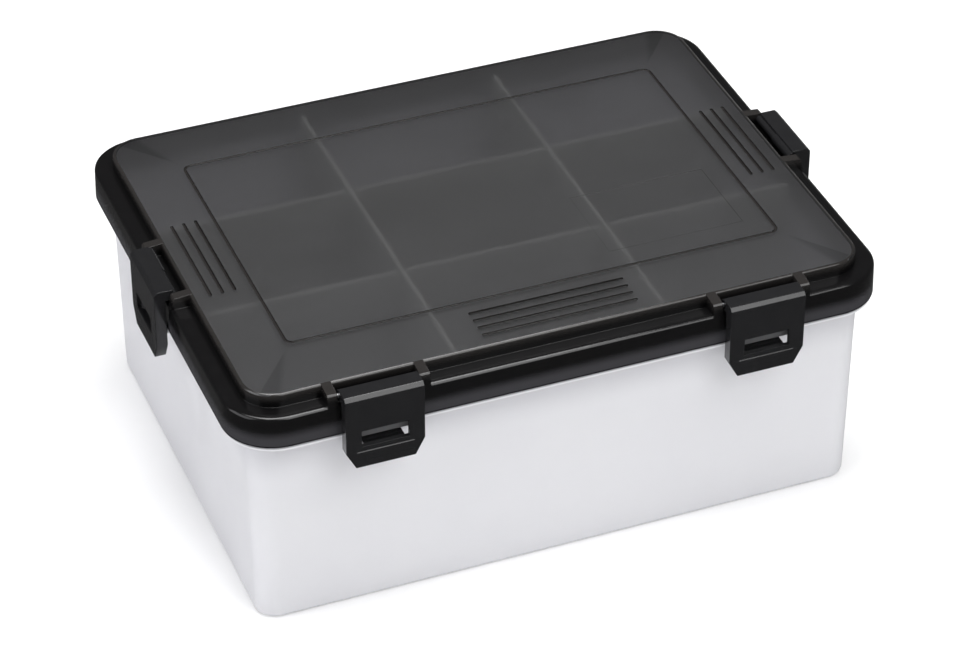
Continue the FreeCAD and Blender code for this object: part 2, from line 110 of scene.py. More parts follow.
# %% Forms to start from
def block(name, low, high):
    """A cuboid between two corners, in millimetres, with its place in its mesh."""
    clear_bench()
    centre = [(a + b) / 2 * mm for a, b in zip(low, high)]
    size = [(b - a) * mm for a, b in zip(low, high)]
    bpy.ops.mesh.primitive_cube_add(size=1.0, location=centre, scale=size)
    piece = bpy.context.object
    piece.name = name
    bpy.ops.object.transform_apply(location=True, rotation=True, scale=True)
    return piece


def rod(name, start, length, radius, sides=40):
    """A round bar along X from a point, in millimetres."""
    clear_bench()
    centre = ((start[0] + length / 2) * mm, start[1] * mm, start[2] * mm)
    bpy.ops.mesh.primitive_cylinder_add(
        vertices=sides, radius=radius * mm, depth=length * mm, location=centre,
        rotation=(0, math.pi / 2, 0))
    piece = bpy.context.object
    piece.name = name
    bpy.ops.object.transform_apply(location=True, rotation=True, scale=True)
    return piece


# %% Cutting and combining
def slice_off(piece, point, outward):
    """Cuts a piece along a plane and closes the cut; what lies outward of it goes."""
    mark(piece, "FACE", everything)
    bpy.ops.mesh.bisect(plane_co=[v * mm for v in point], plane_no=Vector(outward).normalized(),
                        clear_outer=True, use_fill=True)
    lay_down()


def score(piece, point, normal):
    """Adds a ring of edges where a plane crosses a piece."""
    mark(piece, "FACE", everything)
    bpy.ops.mesh.bisect(plane_co=[v * mm for v in point], plane_no=normal)
    lay_down()


def apply_modifier(piece, kind, **settings):
    pick_up(piece)
    modifier = piece.modifiers.new(kind.lower(), kind)
    for name, value in settings.items():
        setattr(modifier, name, value)
    bpy.ops.object.modifier_apply(modifier=modifier.name)


def combine(piece, other, operation):
    """UNION adds the other form to the piece, DIFFERENCE takes it away."""
    apply_modifier(piece, "BOOLEAN", object=other, operation=operation, solver="EXACT")
    bpy.data.objects.remove(other, do_unlink=True)


# %% Softening, shading and dressing
def soften(piece, width, angle=math.radians(35)):
    """Rounds each edge that turns by more than the angle."""
    apply_modifier(piece, "BEVEL", width=width * mm, segments=2, limit_method="ANGLE",
                   angle_limit=angle, use_clamp_overlap=True)


def shade(piece, angle=math.radians(36)):
    """Round faces shade smoothly, flat ones stay flat, and sharp edges stay sharp."""
    pick_up(piece)
    bpy.ops.object.shade_smooth_by_angle(angle=angle)
    apply_modifier(piece, "WEIGHTED_NORMAL", keep_sharp=True)


def dress(piece, finish):
    piece.data.materials.clear()
    piece.data.materials.append(finish)
    return piece


# %% [markdown]
# ## Grain and wear
# Plastic is never one flat value. A mould is spark-eroded or polished, so the surface carries a
# fine grain. Handling rubs the gloss of the flats unevenly and polishes the edges. A few small
# recipes cover the grain and the uneven gloss, and each finish below mixes them. They all read
# Object coordinates, which here are real metres, so a scale of 1000 means grains of about a
# millimetre.

# %% Noise and ranges
def new_finish(name):
    material = bpy.data.materials.new(name)
    material.use_nodes = True
    tree = material.node_tree
    shader = tree.nodes["Principled BSDF"]
    place = tree.nodes.new("ShaderNodeTexCoord")
    return material, tree, shader, place.outputs["Object"]


def noise(tree, place, scale, detail=2.0, stretch=None):
    """A cloud of values about 0.5, stretched along an axis where a stretch is given."""
    if stretch:
        mapping = tree.nodes.new("ShaderNodeMapping")
        mapping.inputs["Scale"].default_value = stretch
        tree.links.new(place, mapping.inputs["Vector"])
        place = mapping.outputs["Vector"]
    texture = tree.nodes.new("ShaderNodeTexNoise")
    texture.inputs["Scale"].default_value = scale
    texture.inputs["Detail"].default_value = detail
    tree.links.new(place, texture.inputs["Vector"])
    return texture.outputs["Fac"]


def between(tree, value, low, high, start=0.3, stop=0.7):
    """Spreads a value that runs from start to stop over low to high."""
    ranger = tree.nodes.new("ShaderNodeMapRange")
    numbers = {"From Min": start, "From Max": stop, "To Min": low, "To Max": high}
    for socket, number in numbers.items():
        ranger.inputs[socket].default_value = number
    tree.links.new(value, ranger.inputs["Value"])
    return ranger.outputs["Result"]


def height_share(tree, place, low, high):
    """0 at one height of the piece and 1 at another, in millimetres."""
    split = tree.nodes.new("ShaderNodeSeparateXYZ")
    tree.links.new(place, split.inputs["Vector"])
    return between(tree, split.outputs["Z"], 0.0, 1.0, low * mm, high * mm)


# %% Colours
def blend_colours(tree, value, dark, light):
    mixer = tree.nodes.new("ShaderNodeMix")
    mixer.data_type = "RGBA"
    mixer.inputs["A"].default_value = (*dark, 1)
    mixer.inputs["B"].default_value = (*light, 1)
    tree.links.new(value, mixer.inputs["Factor"])
    return mixer.outputs["Result"]


def multiply_colours(tree, first, second):
    mixer = tree.nodes.new("ShaderNodeMix")
    mixer.data_type = "RGBA"
    mixer.blend_type = "MULTIPLY"
    mixer.inputs["Factor"].default_value = 1.0
    tree.links.new(first, mixer.inputs["A"])
    tree.links.new(second, mixer.inputs["B"])
    return mixer.outputs["Result"]


def colour_steps(tree, value, steps):
    """Colours that run softly into one another along a value."""
    ramp = tree.nodes.new("ShaderNodeValToRGB")
    ramp.color_ramp.interpolation = "EASE"
    knots = ramp.color_ramp.elements
    while len(knots) < len(steps):
        knots.new(0.5)
    for knot, (share, colour) in zip(knots, steps):
        knot.position = share
        knot.color = (*colour, 1)
    tree.links.new(value, ramp.inputs["Fac"])
    return ramp.outputs["Color"]


# %% Grain and milky depth
def soft_grain(tree, shader, value, depth, edge_radius=None):
    """Bumps of a real depth, over normals that can round every sharp edge a little."""
    bump = tree.nodes.new("ShaderNodeBump")
    bump.inputs["Strength"].default_value = 1.0
    bump.inputs["Distance"].default_value = depth
    tree.links.new(value, bump.inputs["Height"])
    if edge_radius:
        edge = tree.nodes.new("ShaderNodeBevel")
        edge.samples = 4
        edge.inputs["Radius"].default_value = edge_radius
        tree.links.new(edge.outputs["Normal"], bump.inputs["Normal"])
    tree.links.new(bump.outputs["Normal"], shader.inputs["Normal"])


def milky_depth(shader, weight, reach):
    """Lets light wander inside the plastic as far as reach, the same for all colours."""
    shader.inputs["Subsurface Weight"].default_value = weight
    shader.inputs["Subsurface Radius"].default_value = (1.0, 1.0, 1.0)
    shader.inputs["Subsurface Scale"].default_value = reach


# %% [markdown]
# ## Frosted tub
# The tub is natural polypropylene. It is milky because light scatters inside the wall, so a bare
# white would look like paint: a little subsurface scattering lets the walls glow softly where
# they are lit from the other side. The mould face is lightly etched, which keeps the gloss low.
# Under the dark lid the wall gets less light through from inside, so just below the flange it
# is painted a little grey: painted shade.
# The flange's lower edge gathers light into a bright line, and its upper part is in the lid's
# shade, so that narrow edge gets a finish of its own with the same plastic, whose upper part is
# painted darker: painted shade.

# %% Frosted plastic
# The grey and the shaded colour are painted shade; clear leaves the colour as it is.
clear, painted_grey_shade, shaded = (1.0, 1.0, 1.0), (0.80, 0.80, 0.805), (0.42, 0.42, 0.43)


def frosted_plastic(name, heights, steps):
    material, tree, shader, place = new_finish(name)
    cloud = noise(tree, place, 26.0, 3.0)
    cloud = blend_colours(tree, cloud, (0.80, 0.80, 0.835), (0.84, 0.84, 0.87))
    # Painted shade: the base colour is multiplied by a grey that follows the height.
    painted_shade = colour_steps(tree, height_share(tree, place, *heights), steps)
    tree.links.new(multiply_colours(tree, cloud, painted_shade), shader.inputs["Base Color"])
    tree.links.new(between(tree, noise(tree, place, 60.0), 0.42, 0.56), shader.inputs["Roughness"])
    milky_depth(shader, 0.35, 4 * mm)
    soft_grain(tree, shader, noise(tree, place, 1500.0, 1.0), 0.012 * mm, 0.3 * mm)
    return material


wall_heights = (86.3, 120.0)
# Painted shade on the wall: grey just below the flange, clear lower down and higher up.
wall_shade_steps = [(0.0, clear), (0.76, painted_grey_shade), (0.88, painted_grey_shade), (0.95, clear)]
flange_heights = (113.8, 116.0)
# Painted shade on the flange's edge: clear low down, darker on its upper part.
flange_shade_steps = [(0.0, clear), (0.30, clear), (0.65, shaded), (1.0, shaded)]
tub_finish = frosted_plastic("frosted polypropylene", wall_heights, wall_shade_steps)
flange_finish = frosted_plastic("frosted flange edge", flange_heights, flange_shade_steps)
print("frosted finishes:", tub_finish.name, "and", flange_finish.name)

# %% [markdown]
# The dividers are thinner sheets of the same plastic. Light that enters such a sheet runs along
# inside it and leaves at the edges, so the top edge looks paler than the faces below it. That is
# painted: the colour runs from a darker grey low down to a paler one at the top edge, painted
# shade below and painted light above.

# %% Divider sheets
def divider_sheet_plastic(name):
    material, tree, shader, place = new_finish(name)
    # Painted shade low down and painted light toward the top edge, by height.
    glow = height_share(tree, place, 112.0, 133.0)
    colour = blend_colours(tree, glow, (0.50, 0.51, 0.48), (0.74, 0.76, 0.71))
    tree.links.new(colour, shader.inputs["Base Color"])
    tree.links.new(between(tree, noise(tree, place, 60.0), 0.40, 0.56), shader.inputs["Roughness"])
    milky_depth(shader, 0.2, 3 * mm)
    soft_grain(tree, shader, noise(tree, place, 1500.0, 1.0), 0.012 * mm)
    return material


sheet_finish = divider_sheet_plastic("frosted divider sheet")
print("divider finish:", sheet_finish.name)

# %% [markdown]
# ## Smoked lid
# The lid is one moulding in a grey-dyed clear plastic, but it shows three faces. The top is
# polished and lets light in. The ceiling under it is finely textured, so what lies below shows
# only as soft streaks. Rim, skirt and ears are double walls with a black seal behind them, and
# look almost black. Toward the bottom edge they are painted a shade lighter: painted light, as
# where the pale tub shines through.
#
# Around the framed panel the top falls away a hair toward its edges, and the falls meet in a
# narrow facet at each corner. The fall is too small to measure, but the facet takes the light
# differently and shows as a wedge that is a little darker, so that wedge is painted shade
# between two lines from the panel's corner. The four corners mirror each other, so one wedge
# on positive sides serves them all.

# %% Facets at the corners
wedge_apex = (134.0, 87.0)
wedge_painted_shade = (0.66, 0.66, 0.67)
sharp_side = ((-0.776, 0.631, 0), -0.2, 0.4)
fading_side = ((0.928, -0.371, 0), -0.5, 3.0)


def side_of_line(tree, point, inward, start, stop):
    """0 up to one distance inward of a line and 1 beyond another, in millimetres."""
    dot = tree.nodes.new("ShaderNodeVectorMath")
    dot.operation = "DOT_PRODUCT"
    dot.inputs[1].default_value = inward
    tree.links.new(point, dot.inputs[0])
    return between(tree, dot.outputs["Value"], 0.0, 1.0, start * mm, stop * mm)


def corner_wedges(tree, place):
    """White everywhere, with the wedge's painted shade where a place lies inward of both its
    sides.
    """
    mirrored = tree.nodes.new("ShaderNodeVectorMath")
    mirrored.operation = "ABSOLUTE"
    tree.links.new(place, mirrored.inputs[0])
    offset = tree.nodes.new("ShaderNodeVectorMath")
    offset.operation = "SUBTRACT"
    offset.inputs[1].default_value = (wedge_apex[0] * mm, wedge_apex[1] * mm, 0)
    tree.links.new(mirrored.outputs["Vector"], offset.inputs[0])
    both = tree.nodes.new("ShaderNodeMath")
    both.operation = "MULTIPLY"
    for index, side in enumerate((sharp_side, fading_side)):
        beyond = side_of_line(tree, offset.outputs["Vector"], *side)
        tree.links.new(beyond, both.inputs[index])
    return blend_colours(tree, both.outputs["Value"], (1.0, 1.0, 1.0), wedge_painted_shade)


# %% [markdown]
# The see-through faces refract, as clear plastic does. Light for the inside would have to find
# its way through that by chance, so rays that carry lamp light cross the faces straight instead.

# %% See-through faces
smoke_index = 1.49


def smoked_window(name, tint, rough, grain_depth, grain_scale, wedges=False):
    material, tree, shader, place = new_finish(name)
    cloud = noise(tree, place, 18.0, 3.0)
    colour = blend_colours(tree, cloud, [0.94 * v for v in tint], [1.06 * v for v in tint])
    # The corner wedges are painted shade.
    if wedges:
        colour = multiply_colours(tree, colour, corner_wedges(tree, place))
    tree.links.new(colour, shader.inputs["Base Color"])
    rubs = noise(tree, place, 40.0, 2.0)
    tree.links.new(between(tree, rubs, *rough), shader.inputs["Roughness"])
    shader.inputs["Transmission Weight"].default_value = 0.94
    shader.inputs["IOR"].default_value = smoke_index
    soft_grain(tree, shader, noise(tree, place, grain_scale, 2.0), grain_depth)
    straight = tree.nodes.new("ShaderNodeBsdfTransparent")
    straight.inputs["Color"].default_value = (*[math.sqrt(v) for v in tint], 1)
    ray = tree.nodes.new("ShaderNodeLightPath")
    lamp_light = tree.nodes.new("ShaderNodeMath")
    lamp_light.operation = "MAXIMUM"
    tree.links.new(ray.outputs["Is Shadow Ray"], lamp_light.inputs[0])
    tree.links.new(ray.outputs["Is Diffuse Ray"], lamp_light.inputs[1])
    mix = tree.nodes.new("ShaderNodeMixShader")
    tree.links.new(lamp_light.outputs["Value"], mix.inputs["Fac"])
    tree.links.new(shader.outputs["BSDF"], mix.inputs[1])
    tree.links.new(straight.outputs["BSDF"], mix.inputs[2])
    tree.links.new(mix.outputs["Shader"], tree.nodes["Material Output"].inputs["Surface"])
    return material


lid_top_finish = smoked_window(
    "smoked plastic polished", (0.275, 0.275, 0.285), (0.08, 0.12), 0.002 * mm, 90.0, wedges=True)
lid_under_finish = smoked_window(
    "smoked plastic textured", (0.275, 0.272, 0.27), (0.31, 0.37), 0.01 * mm, 900.0)
print("see-through finishes:", lid_top_finish.name, "and", lid_under_finish.name)

# %% [markdown]
# The dense faces change with height, and most of that change is painted light and shade. Behind
# the latches a bed lies low and is painted pale grey, as painted light from the white flange
# behind it. Above it come the skirt's bottom line, painted dark as painted shade, its foot,
# painted pale as painted light from the tub shining through, the nearly black rim, and last the
# ears and the plateau's wall, where a little brown shows, painted lighter as painted light
# through the thin wall.

# %% Dense faces
def dense_smoke(name):
    material, tree, shader, place = new_finish(name)
    height = height_share(tree, place, 112.5, 140.4)
    # The bed's pale grey, the skirt's pale foot and the brown near the top are painted light; the
    # dark line at the skirt's bottom is painted shade.
    painted_bed_light, painted_shade_line, pale = (0.16, 0.16, 0.165), (0.006, 0.006, 0.007), (0.046, 0.045, 0.050)
    dark, painted_brown_light = (0.0045, 0.0043, 0.0046), (0.024, 0.022, 0.021)
    steps = [(0.0, painted_bed_light), (0.115, painted_bed_light), (0.135, painted_shade_line), (0.150, painted_shade_line), (0.175, pale), (0.26, pale),
             (0.50, dark), (0.80, dark), (0.97, painted_brown_light), (1.0, painted_brown_light)]
    tree.links.new(colour_steps(tree, height, steps), shader.inputs["Base Color"])
    rubs = noise(tree, place, 110.0, 4.0)
    tree.links.new(between(tree, rubs, 0.12, 0.22), shader.inputs["Roughness"])
    shader.inputs["IOR"].default_value = smoke_index
    soft_grain(tree, shader, noise(tree, place, 140.0, 2.0), 0.004 * mm, 0.45 * mm)
    return material


lid_rim_finish = dense_smoke("smoked plastic dense")
# The grooves take the dense finish too: painted shade where clear plastic would look dark.
lid_groove_painted_shade = dense_smoke("smoked plastic groove")
print("dense finishes:", lid_rim_finish.name, "and", lid_groove_painted_shade.name)

# %% [markdown]
# ## Latches, seal and pins
# The latches are black, moulded against a finely etched steel face, which leaves a satin gloss.
# The seal is soft rubber, dull and slightly dusty. The pins are drawn steel wire, with fine
# lines along their length that come from the drawing die.

# %% Black, rubber and steel
def black_plastic(name):
    material, tree, shader, place = new_finish(name)
    cloud = noise(tree, place, 120.0, 3.0)
    colour = blend_colours(tree, cloud, (0.011, 0.011, 0.012), (0.016, 0.016, 0.017))
    tree.links.new(colour, shader.inputs["Base Color"])
    rubs = noise(tree, place, 320.0, 4.0)
    tree.links.new(between(tree, rubs, 0.15, 0.21), shader.inputs["Roughness"])
    soft_grain(tree, shader, noise(tree, place, 2600.0, 1.0), 0.0025 * mm, 0.25 * mm)
    return material


def seal_rubber(name):
    material, tree, shader, place = new_finish(name)
    dust = noise(tree, place, 300.0, 5.0)
    colour = blend_colours(tree, dust, (0.010, 0.010, 0.010), (0.026, 0.026, 0.027))
    tree.links.new(colour, shader.inputs["Base Color"])
    tree.links.new(between(tree, dust, 0.70, 0.92), shader.inputs["Roughness"])
    soft_grain(tree, shader, noise(tree, place, 1200.0, 2.0), 0.02 * mm)
    return material


def drawn_steel(name, along):
    material, tree, shader, place = new_finish(name)
    lines = noise(tree, place, 2500.0, 2.0, along)
    colour = blend_colours(tree, lines, (0.52, 0.52, 0.54), (0.68, 0.68, 0.70))
    tree.links.new(colour, shader.inputs["Base Color"])
    tree.links.new(between(tree, lines, 0.22, 0.42), shader.inputs["Roughness"])
    shader.inputs["Metallic"].default_value = 1.0
    soft_grain(tree, shader, lines, 0.004 * mm)
    return material


latch_finish = black_plastic("black satin plastic")
seal_finish = seal_rubber("seal rubber")
pin_finish_x = drawn_steel("steel wire along X", (0.02, 1.0, 1.0))
pin_finish_y = drawn_steel("steel wire along Y", (1.0, 0.02, 1.0))
small_finishes = (latch_finish, seal_finish, pin_finish_x, pin_finish_y)
print("small finishes:", [finish.name for finish in small_finishes])

# %% [markdown]
# ## Smooth mouldings
# The frame's pieces are loose triangles. On the tub and the lid the eye follows long rounded
# edges, so each gets a copy whose triangles are merged. Then shading can run round the corners,
# and weighted normals keep the large flat faces flat.

# %% Copies with soft shading
def merged_copy(node_name, name):
    """A new piece with a node's shape, its loose triangles merged into one skin."""
    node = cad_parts[node_name]
    piece = node.copy()
    piece.data = node.data.copy()
    piece.name = name
    for key in list(piece.keys()):
        del piece[key]
    piece.parent = None
    bpy.context.scene.collection.objects.link(piece)
    pick_up(piece)
    bpy.ops.mesh.customdata_custom_splitnormals_clear()
    mark(piece, "FACE", everything)
    bpy.ops.mesh.remove_doubles(threshold=0.001 * mm)
    lay_down()
    return piece


def on_flange_edge(centre, normal):
    """True on the flange's narrow outer edge, which faces away from the middle of the box."""
    outward = centre.x * normal.x + centre.y * normal.y > 0
    return flange_heights[0] < centre.z < flange_heights[1] and abs(normal.z) < 0.5 and outward


tub_piece = dress(merged_copy("base_tub", "base_tub_moulding"), tub_finish)
tub_piece.data.materials.append(flange_finish)
# The flange's outer edge takes the finish with painted shade on its upper part.
for face in tub_piece.data.polygons:
    face.material_index = int(on_flange_edge(face.center / mm, face.normal))
print("faces on the flange edge:", sum(face.material_index for face in tub_piece.data.polygons))
shade(tub_piece)
join_in_body(tub_piece, "tub", "frosted_tub", "base_tub")
print("tub faces:", len(tub_piece.data.polygons))

# %% [markdown]
# ## Lid with its zones
# The lid's copy is painted face by face, as a mould maker would mark polished, textured and
# double-walled areas on a drawing. A face's height, direction and distance from the rim say to
# which zone it belongs.

# %% Lid zones
rim_half = (175.0, 132.0)
rim_corner = 27.0
top_zone_inset = 11.95
top_zone_height = 139.2
panel_groove_floor = 140.3
grip_groove_floor = 139.6
ceiling_height = 138.0
top_zone, ceiling_zone, dense_zone, groove_zone = range(4)


def lid_zone(centre, normal):
    inset = min(rim_half[0] - abs(centre.x), rim_half[1] - abs(centre.y))
    if inset > top_zone_inset and centre.z > top_zone_height:
        floors = (panel_groove_floor, grip_groove_floor)
        on_floor = normal.z > 0.9 and min(abs(centre.z - height) for height in floors) < 0.05
        on_side = abs(normal.z) < 0.3
        # Groove floors and sides get the dense dark finish: painted shade for the darkness that
        # clear plastic shows in a groove, where light is bent away.
        return groove_zone if on_floor or on_side else top_zone
    if normal.z < -0.9 and abs(centre.z - ceiling_height) < 0.1:
        return ceiling_zone
    return dense_zone


lid_piece = merged_copy("lid_shell", "lid_shell_moulding")
dress(lid_piece, lid_top_finish)
for finish in (lid_under_finish, lid_rim_finish, lid_groove_painted_shade):
    lid_piece.data.materials.append(finish)
for face in lid_piece.data.polygons:
    face.material_index = lid_zone(face.center / mm, face.normal)
shade(lid_piece)
join_in_body(lid_piece, "lid", "smoke_lid", "lid_shell")
zones = [face.material_index for face in lid_piece.data.polygons]
print("lid faces by zone:", [zones.count(index) for index in range(4)])

# %% [markdown]
# ## Latch
# A latch is a hood that hangs over the lid's edge. Its top plate ends in a barrel round a pin, its
# front plate carries a window, and behind the window's sill a hook reaches under the tub's
# flange. It could be lofted in one go, but it is built here as a toolmaker cuts the mould: a
# block with its corners and fold cut, a pocket taken out from behind, then barrel, window, hook
# and grip lines one after another. All sizes are the construction's. The latch is drawn with its
# width along X, the rim's face at y = 0 and outward toward -Y.

# %% Latch sizes
latch_half = 20.5
latch_face = -6.8
latch_back = -0.8
latch_wall = 2.3
latch_top = 141.0
latch_bottom = 98.5
latch_shoulder = 134.9
cheek = 2.2
corner_cut = (5.0, 9.5)
fold_cut = 1.9
inner_fold = 1.0
pocket_back = 8.0
pivot = (3.6, 137.2)
latch_edge = 0.3
print("latch plate, mm:", 2 * latch_half, "wide and", round(latch_top - latch_bottom, 1), "high")


# %% Hood with its cut corners and fold
def cut_lower_corners(piece, half, bottom):
    """Takes off the two lower corners, as far in and as far up as corner_cut says."""
    for side in (1, -1):
        outward = (side * corner_cut[1], 0, -corner_cut[0])
        slice_off(piece, (side * (half - corner_cut[0]), 0, bottom), outward)


def front_fold(top, front):
    """Picks the edge along X where a form's top meets its front."""
    return lambda middle, run: abs(run.x) > 0.9 and middle.z > top - 0.1 and middle.y < front + 0.1


hood = block("latch", (-latch_half, latch_face, latch_bottom), (latch_half, latch_back, latch_top))
score(hood, (0, 0, latch_shoulder), (0, 0, 1))
mark(hood, "FACE", lambda centre, normal: normal.y > 0.9 and centre.z > latch_shoulder)
reach_back = (pivot[0] - latch_back) * mm
bpy.ops.mesh.extrude_region_move(TRANSFORM_OT_translate={"value": (0, reach_back, 0)})
lay_down()
cut_lower_corners(hood, latch_half, latch_bottom)
mark(hood, "EDGE", front_fold(latch_top, latch_face))
bpy.ops.mesh.bevel(offset=fold_cut * mm, segments=1, affect="EDGES")
lay_down()
soften(hood, latch_edge)
print("hood faces:", len(hood.data.polygons))

# %% Pocket behind the plates
pocket = block("pocket", (-latch_half + cheek, latch_face + latch_wall, latch_bottom + cheek),
               (latch_half - cheek, pocket_back, latch_top - latch_wall))
cut_lower_corners(pocket, latch_half - cheek, latch_bottom + cheek)
mark(pocket, "EDGE", front_fold(latch_top - latch_wall, latch_face + latch_wall))
bpy.ops.mesh.bevel(offset=inner_fold * mm, segments=3, affect="EDGES")
lay_down()
combine(hood, pocket, "DIFFERENCE")
print("faces with the pocket:", len(hood.data.polygons))

# %% [markdown]
# The barrel is a little thinner along half its length, where the mould's slide pulls out. The
# hole for the pin comes last, so that it runs clean through barrel and cheeks. Each cutter starts
# and ends in the air, past the face that it has to pierce.

# %% Barrel, window and hook
barrel_radius, thin_barrel_radius = 2.9, 2.3
bore_half, bore_radius = 22.0, 1.31
window_half, window_height = 12.4, 9.8
cutter_start, cutter_end = -8.0, -3.6
hook_half = 10.7
hook_bottom, hook_lip, hook_top = 104.2, 109.4, 110.9
hook_front, hook_back = -5.65, 2.5
hook_edge = 0.35
combine(hood, rod("barrel", (-latch_half, *pivot), latch_half, barrel_radius), "UNION")
combine(hood, rod("thin_barrel", (0.0, *pivot), latch_half, thin_barrel_radius), "UNION")
window = block("window", (-window_half, cutter_start, hook_top),
               (window_half, cutter_end, hook_top + window_height))
mark(window, "EDGE", lambda middle, run: abs(run.y) > 0.9)
bpy.ops.mesh.bevel(offset=latch_edge * mm, segments=2, affect="EDGES")
lay_down()
combine(hood, window, "DIFFERENCE")
hook = block("hook", (-hook_half, hook_front, hook_bottom), (hook_half, hook_back, hook_top))
slice_off(hook, (0, hook_back, hook_lip), (0, hook_lip - hook_bottom, hook_front - hook_back))
soften(hook, hook_edge)
combine(hood, hook, "UNION")
combine(hood, rod("bore", (-bore_half, *pivot), 2 * bore_half, bore_radius, 32), "DIFFERENCE")
print("latch faces before its grip lines:", len(hood.data.polygons))

# %% [markdown]
# Three grip lines cross the plate where a fingertip pulls. Each is a groove with a flat upper side
# and a sloping lower one, made from a bar with one corner sliced off. The top line slopes more
# steeply, so it catches the light from in front, while the other two stay dark.

# %% Grip lines
grip_half = 15.0
grip_lines = ((108.2, 0.55, 0.70), (105.6, 0.30, 0.75), (103.0, 0.30, 0.75))
for height, depth, slope in grip_lines:
    groove = block("groove", (-grip_half, cutter_start, height - slope),
                   (grip_half, latch_face + depth, height))
    slice_off(groove, (0, latch_face, height - slope), (0, slope, -depth))
    combine(hood, groove, "DIFFERENCE")
shade(hood)
dress(hood, latch_finish)
print("latch faces:", len(hood.data.polygons))

# %% [markdown]
# One latch is enough work: all four are copies with meshes of their own, turned and carried to
# their places. Then the turn and the place are applied, so that each finished piece sits at the
# origin with its place in its mesh. A station gives the turn about the box's middle, the place
# along that side, and the end from which the latch's pin is pressed in.

# %% Stations round the rim
stations = {
    "front_left": (0, -102.0, 1),
    "front_right": (0, 102.0, 1),
    "side_left": (-90, 0.0, -1),
    "side_right": (90, 0.0, 1),
}


def set_in_place(piece, turn, along):
    """Carries a piece from the latch's own frame to its place on the rim."""
    pick_up(piece)
    side = rim_half[0] if turn else rim_half[1]
    angle = math.radians(turn)
    drawn = Vector((along * mm, -side * mm, 0))
    piece.location = (
        drawn.x * math.cos(angle) - drawn.y * math.sin(angle),
        drawn.x * math.sin(angle) + drawn.y * math.cos(angle), 0)
    piece.rotation_euler = (0, 0, angle)
    bpy.ops.object.transform_apply(location=True, rotation=True, scale=True)


print("stations:", list(stations))

# %% [markdown]
# A pin is a length of steel wire with its ends turned round, so a cylinder with two bevelled
# edges is all it takes. The latch pins go a little off centre, because each is pressed in from
# one side, and the two rear pins carry the lid.

# %% Latches with their pins
latch_pin_length, latch_pin_radius, latch_pin_end = 50.9, 1.25, 24.7
pin_end_edge = 0.3


def steel_pin(name, start, length, radius, finish):
    """A pin with rounded ends, so that it finds its hole when it is pressed in."""
    pin = rod(name, start, length, radius, 36)
    mark(pin, "EDGE", lambda middle, run: abs(run.x) < 0.1)
    bpy.ops.mesh.bevel(offset=pin_end_edge * mm, segments=3, affect="EDGES")
    lay_down()
    shade(pin)
    return dress(pin, finish)


for station, (turn, along, pin_side) in stations.items():
    latch = hood.copy()
    latch.data = hood.data.copy()
    latch.name = "latch_" + station + "_piece"
    bpy.context.scene.collection.objects.link(latch)
    set_in_place(latch, turn, along)
    join_in_body(latch, station + "_latch", "black_latch", "latch_" + station)
    finish = pin_finish_y if turn else pin_finish_x
    start = -latch_pin_end if pin_side > 0 else latch_pin_end - latch_pin_length
    pin = steel_pin("latch_pin_" + station + "_piece", (start, *pivot),
                    latch_pin_length, latch_pin_radius, finish)
    set_in_place(pin, turn, along)
    join_in_body(pin, "lid", "pin_steel", "latch_pin_" + station)
bpy.data.objects.remove(hood, do_unlink=True)
print("latches in place:", len(stations))

# %% Hinge pins
hinge_pin_length, hinge_pin_radius = 32.2, 1.6
hinge_pin_places = {"left": -95.0, "right": 95.0}
hinge_axis = (136.4, 116.3)
for side, middle in hinge_pin_places.items():
    pin = steel_pin("hinge_pin_" + side + "_piece", (middle - hinge_pin_length / 2, *hinge_axis),
                    hinge_pin_length, hinge_pin_radius, pin_finish_x)
    join_in_body(pin, "tub", "pin_steel", "hinge_pin_" + side)
print("hinge pins:", list(hinge_pin_places))

# %% [markdown]
# ## Seal
# The seal is a square rubber cord vulcanised into a ring. It sits in the lid's channel, and where
# it has been shut for a while the tub's lip leaves a shallow rounded furrow along its underside.
# Sweeping a profile round the corners would do, but insets follow rounded corners by themselves.
# So a plate with rounded corners faces the floor, a row of insets draws edge, furrow and edge
# again, and the middle goes. The two open borders are then pulled up to the channel's roof and
# bridged there.

# %% Seal ring
def seal_ring(outer_inset=2.65, bottom=125.3, top=130.8, edge=0.4):
    """A closed ring whose outer side lies inside the rim by outer_inset, in millimetres."""
    clear_bench()
    bpy.ops.mesh.primitive_plane_add(size=2.0 * mm, location=(0, 0, (bottom + edge) * mm))
    ring = bpy.context.object
    ring.name = "lid_gasket_ring"
    ring.scale = (rim_half[0] - outer_inset, rim_half[1] - outer_inset, 1.0)
    bpy.ops.object.transform_apply(location=True, rotation=True, scale=True)
    mark(ring, "FACE", everything)
    bpy.ops.mesh.flip_normals()
    bpy.ops.mesh.bevel(offset=(rim_corner - outer_inset) * mm, segments=16, affect="VERTICES")
    lay_down()
    mark(ring, "FACE", everything)
    land, flank, furrow = 1.4, 0.5, 2.5
    steps = ((edge, edge), (land, 0.0), (flank, -flank), (furrow, 0.0), (flank, flank),
             (land, 0.0), (edge, -edge))
    for inset, sink in steps:
        bpy.ops.mesh.inset(thickness=inset * mm, depth=sink * mm)
    bpy.ops.mesh.delete(type="FACE")
    bpy.ops.mesh.select_mode(type="EDGE")
    bpy.ops.mesh.select_non_manifold()
    rise = (top - bottom - edge) * mm
    bpy.ops.mesh.extrude_region_move(TRANSFORM_OT_translate={"value": (0, 0, rise)})
    bpy.ops.mesh.bridge_edge_loops()
    bpy.ops.mesh.select_all(action="SELECT")
    bpy.ops.mesh.normals_make_consistent(inside=False)
    bpy.ops.mesh.select_all(action="DESELECT")
    bpy.ops.mesh.select_non_manifold()
    lay_down()
    open_edges = sum(edge_line.select for edge_line in ring.data.edges)
    print("seal width, mm:", round(sum(step[0] for step in steps), 2), "open edges:", open_edges)
    shade(ring)
    return ring


join_in_body(dress(seal_ring(), seal_finish), "lid", "seal_rubber", "lid_gasket")

